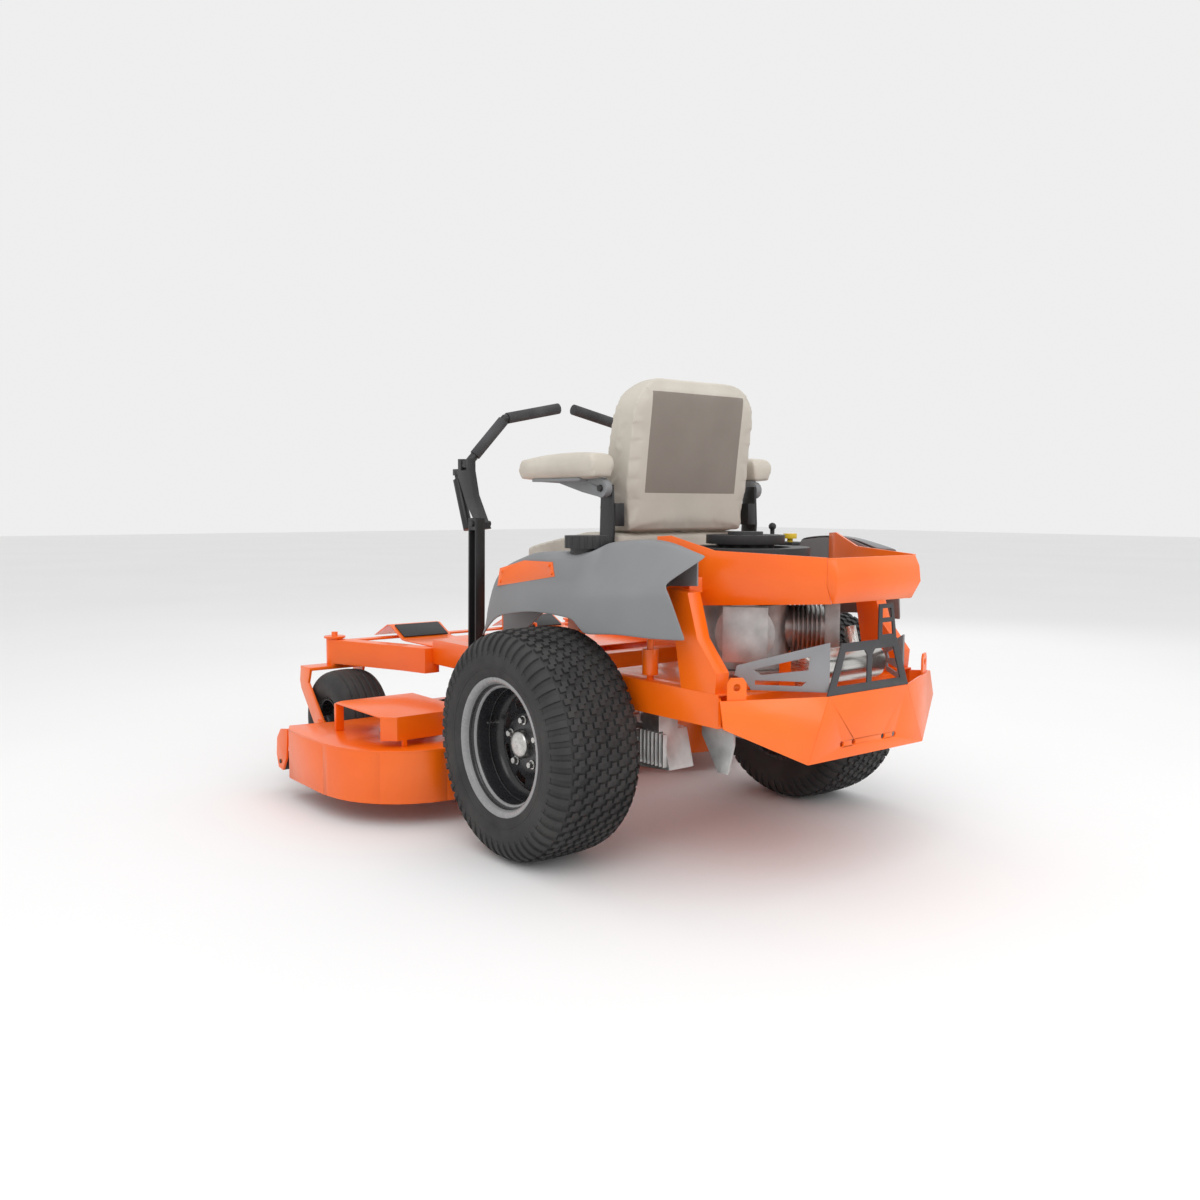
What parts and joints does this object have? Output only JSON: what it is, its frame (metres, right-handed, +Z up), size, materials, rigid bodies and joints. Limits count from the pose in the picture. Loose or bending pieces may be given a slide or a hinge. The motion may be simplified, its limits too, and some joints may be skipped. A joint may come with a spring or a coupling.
{
  "type": "zero turn mower",
  "caption": "Rear-engine zero turn riding mower with twin lap-bar levers, front casters, a high-back seat and a wide side-discharge deck.",
  "frame": {"origin": "on the ground, on the centre plane, midway between the contact lines of the two drive wheels", "axes": "+X forward, +Y to the driver's left, +Z up"},
  "size_m": [1.864, 1.774, 1.185],
  "materials": {
    "orange_paint": "gloss powder coat",
    "grey_paint": "satin powder coat",
    "charcoal_paint": "satin powder coat",
    "black_paint": "satin powder coat",
    "rim_paint": "satin",
    "grey_plastic": "moulded, fine grain",
    "black_plastic": "moulded",
    "seat_vinyl": "grained vinyl",
    "foam": "soft foam",
    "tyre": "matt",
    "cast_alloy": "as cast",
    "bright_steel": "zinc plated",
    "belt_rubber": "matt",
    "yellow_plastic": "gloss"
  },
  "bodies": {
    "chassis": {"side_rails": "orange_paint", "crossmembers": "orange_paint", "front_beams": "orange_paint", "rear_bumper": "orange_paint", "bumper_wings": "orange_paint", "uprights": "orange_paint", "guard_arms": "orange_paint", "guard_rear_cap": "orange_paint", "rear_braces": "grey_paint", "tail_plate": "charcoal_paint", "fender_left": "grey_plastic", "fender_right": "grey_plastic", "footplate": "orange_paint", "foot_pads": "black_plastic", "lever_posts": "black_paint", "engine_block": "cast_alloy", "engine_shroud": "black_plastic", "muffler": "bright_steel", "transaxles": "cast_alloy", "side_badges": "orange_paint", "control_panel": "black_plastic"},
    "fan": {"engine_screen": "black_plastic"},
    "filler_cap": {"fuel_cap": "black_plastic"},
    "seat_pan": {"seat_platform": "black_paint"},
    "seat": {"seat_cushion": "seat_vinyl", "seat_back": "seat_vinyl", "seat_brackets": "black_paint"},
    "deck": {"deck_shell": "orange_paint", "belt_covers": "orange_paint", "deck_belt": "belt_rubber", "spindle_housings": "cast_alloy"},
    "chute": {"discharge_chute": "black_plastic"},
    "spindle_left": {"spindle_left": "bright_steel"},
    "spindle_centre": {"spindle_centre": "bright_steel"},
    "spindle_right": {"spindle_right": "bright_steel"},
    "pedal": {"lift_pedal": "black_paint"},
    "throttle": {"throttle_lever": "black_plastic"},
    "pto_switch": {"pto_knob": "yellow_plastic"},
    "roller_left": {"roller_left": "black_plastic"},
    "roller_right": {"roller_right": "black_plastic"},
    "armrest_left": {"armrest_pad_left": "seat_vinyl", "armrest_arm_left": "grey_plastic"},
    "hub_left": {"lever_hub_left": "black_paint"},
    "lever_left": {"lap_bar_left": "black_paint", "lever_grip_left": "foam"},
    "drive_wheel_left": {"rear_tyre_left": "tyre", "rear_rim_left": "rim_paint"},
    "fork_left": {"caster_fork_left": "orange_paint"},
    "caster_wheel_left": {"caster_tyre_left": "tyre", "caster_rim_left": "rim_paint"},
    "armrest_right": {"armrest_pad_right": "seat_vinyl", "armrest_arm_right": "grey_plastic"},
    "hub_right": {"lever_hub_right": "black_paint"},
    "lever_right": {"lap_bar_right": "black_paint", "lever_grip_right": "foam"},
    "drive_wheel_right": {"rear_tyre_right": "tyre", "rear_rim_right": "rim_paint"},
    "fork_right": {"caster_fork_right": "orange_paint"},
    "caster_wheel_right": {"caster_tyre_right": "tyre", "caster_rim_right": "rim_paint"}
  },
  "joints": [
    {"name": "drive_wheel_left_spin", "type": "hinge", "parent": "chassis", "child": "drive_wheel_left", "pos_m": [0, 0.4835, 0.2795], "axis": [0, 1, 0], "continuous": true},
    {"name": "caster_left_swivel", "type": "hinge", "parent": "chassis", "child": "fork_left", "pos_m": [1.151, 0.479, 0.378], "axis": [0, 0, 1], "continuous": true},
    {"name": "caster_wheel_left_spin", "type": "hinge", "parent": "fork_left", "child": "caster_wheel_left", "pos_m": [1.059, 0.479, 0.165], "axis": [0, 1, 0], "continuous": true},
    {"name": "lever_left_drive", "type": "hinge", "parent": "chassis", "child": "hub_left", "pos_m": [0.476, 0.352, 0.8], "axis": [0, 1, 0], "range_deg": [-18, 18], "stiffness_Nm_per_rad": 90},
    {"name": "lever_left_swing_out", "type": "hinge", "parent": "hub_left", "child": "lever_left", "pos_m": [0.572, 0.328, 0.965], "axis": [-1, 0, 0], "range_deg": [0, 40]},
    {"name": "armrest_left_fold", "type": "hinge", "parent": "seat", "child": "armrest_left", "pos_m": [0.012, 0.27, 0.895], "axis": [0, 1, 0], "range_deg": [-95, 0]},
    {"name": "roller_left_spin", "type": "hinge", "parent": "deck", "child": "roller_left", "pos_m": [0.948, 0.722, 0.092], "axis": [0, 1, 0], "continuous": true},
    {"name": "drive_wheel_right_spin", "type": "hinge", "parent": "chassis", "child": "drive_wheel_right", "pos_m": [0, -0.4835, 0.2795], "axis": [0, 1, 0], "continuous": true},
    {"name": "caster_right_swivel", "type": "hinge", "parent": "chassis", "child": "fork_right", "pos_m": [1.151, -0.479, 0.378], "axis": [0, 0, 1], "continuous": true},
    {"name": "caster_wheel_right_spin", "type": "hinge", "parent": "fork_right", "child": "caster_wheel_right", "pos_m": [1.059, -0.479, 0.165], "axis": [0, 1, 0], "continuous": true},
    {"name": "lever_right_drive", "type": "hinge", "parent": "chassis", "child": "hub_right", "pos_m": [0.476, -0.352, 0.8], "axis": [0, 1, 0], "range_deg": [-18, 18], "stiffness_Nm_per_rad": 90},
    {"name": "lever_right_swing_out", "type": "hinge", "parent": "hub_right", "child": "lever_right", "pos_m": [0.572, -0.328, 0.965], "axis": [1, 0, 0], "range_deg": [0, 40]},
    {"name": "armrest_right_fold", "type": "hinge", "parent": "seat", "child": "armrest_right", "pos_m": [0.012, -0.27, 0.895], "axis": [0, 1, 0], "range_deg": [-95, 0]},
    {"name": "roller_right_spin", "type": "hinge", "parent": "deck", "child": "roller_right", "pos_m": [0.948, -0.722, 0.092], "axis": [0, 1, 0], "continuous": true},
    {"name": "fan_spin", "type": "hinge", "parent": "chassis", "child": "fan", "pos_m": [-0.222, 0, 0.77], "axis": [0, 0, 1], "continuous": true},
    {"name": "fuel_cap_turn", "type": "hinge", "parent": "chassis", "child": "filler_cap", "pos_m": [-0.063, 0.378, 0.75], "axis": [0, 0, 1], "range_deg": [0, 120]},
    {"name": "seat_tip", "type": "hinge", "parent": "chassis", "child": "seat_pan", "pos_m": [0.4, 0, 0.655], "axis": [0, 1, 0], "range_deg": [0, 25]},
    {"name": "seat_slide", "type": "slide", "parent": "seat_pan", "child": "seat", "axis": [1, 0, 0], "range_m": [0, 0.06]},
    {"name": "deck_lift", "type": "slide", "parent": "chassis", "child": "deck", "axis": [0, 0, 1], "range_m": [0, 0.05]},
    {"name": "lift_pedal_press", "type": "hinge", "parent": "chassis", "child": "pedal", "pos_m": [0.9, -0.11, 0.44], "axis": [0, 1, 0], "range_deg": [0, 15]},
    {"name": "chute_fold", "type": "hinge", "parent": "deck", "child": "chute", "pos_m": [0.655, -0.776, 0.214], "axis": [-1, 0, 0], "range_deg": [0, 80]},
    {"name": "spindle_left_spin", "type": "hinge", "parent": "deck", "child": "spindle_left", "pos_m": [0.62, 0.497, 0.16], "axis": [0, 0, 1], "continuous": true},
    {"name": "spindle_centre_spin", "type": "hinge", "parent": "deck", "child": "spindle_centre", "pos_m": [0.79, 0, 0.16], "axis": [0, 0, 1], "continuous": true},
    {"name": "spindle_right_spin", "type": "hinge", "parent": "deck", "child": "spindle_right", "pos_m": [0.62, -0.497, 0.16], "axis": [0, 0, 1], "continuous": true},
    {"name": "throttle_set", "type": "hinge", "parent": "chassis", "child": "throttle", "pos_m": [0.055, -0.394, 0.743], "axis": [0, 1, 0], "range_deg": [-25, 25]},
    {"name": "pto_pull", "type": "slide", "parent": "chassis", "child": "pto_switch", "axis": [0, 0, 1], "range_m": [0, 0.01]}
  ],
  "couplings": [
    {"joint": "spindle_left_spin", "follows": "spindle_centre_spin", "ratio": 1},
    {"joint": "spindle_right_spin", "follows": "spindle_centre_spin", "ratio": 1},
    {"joint": "lift_pedal_press", "follows": "deck_lift", "rad_per_m": 5.2}
  ]
}
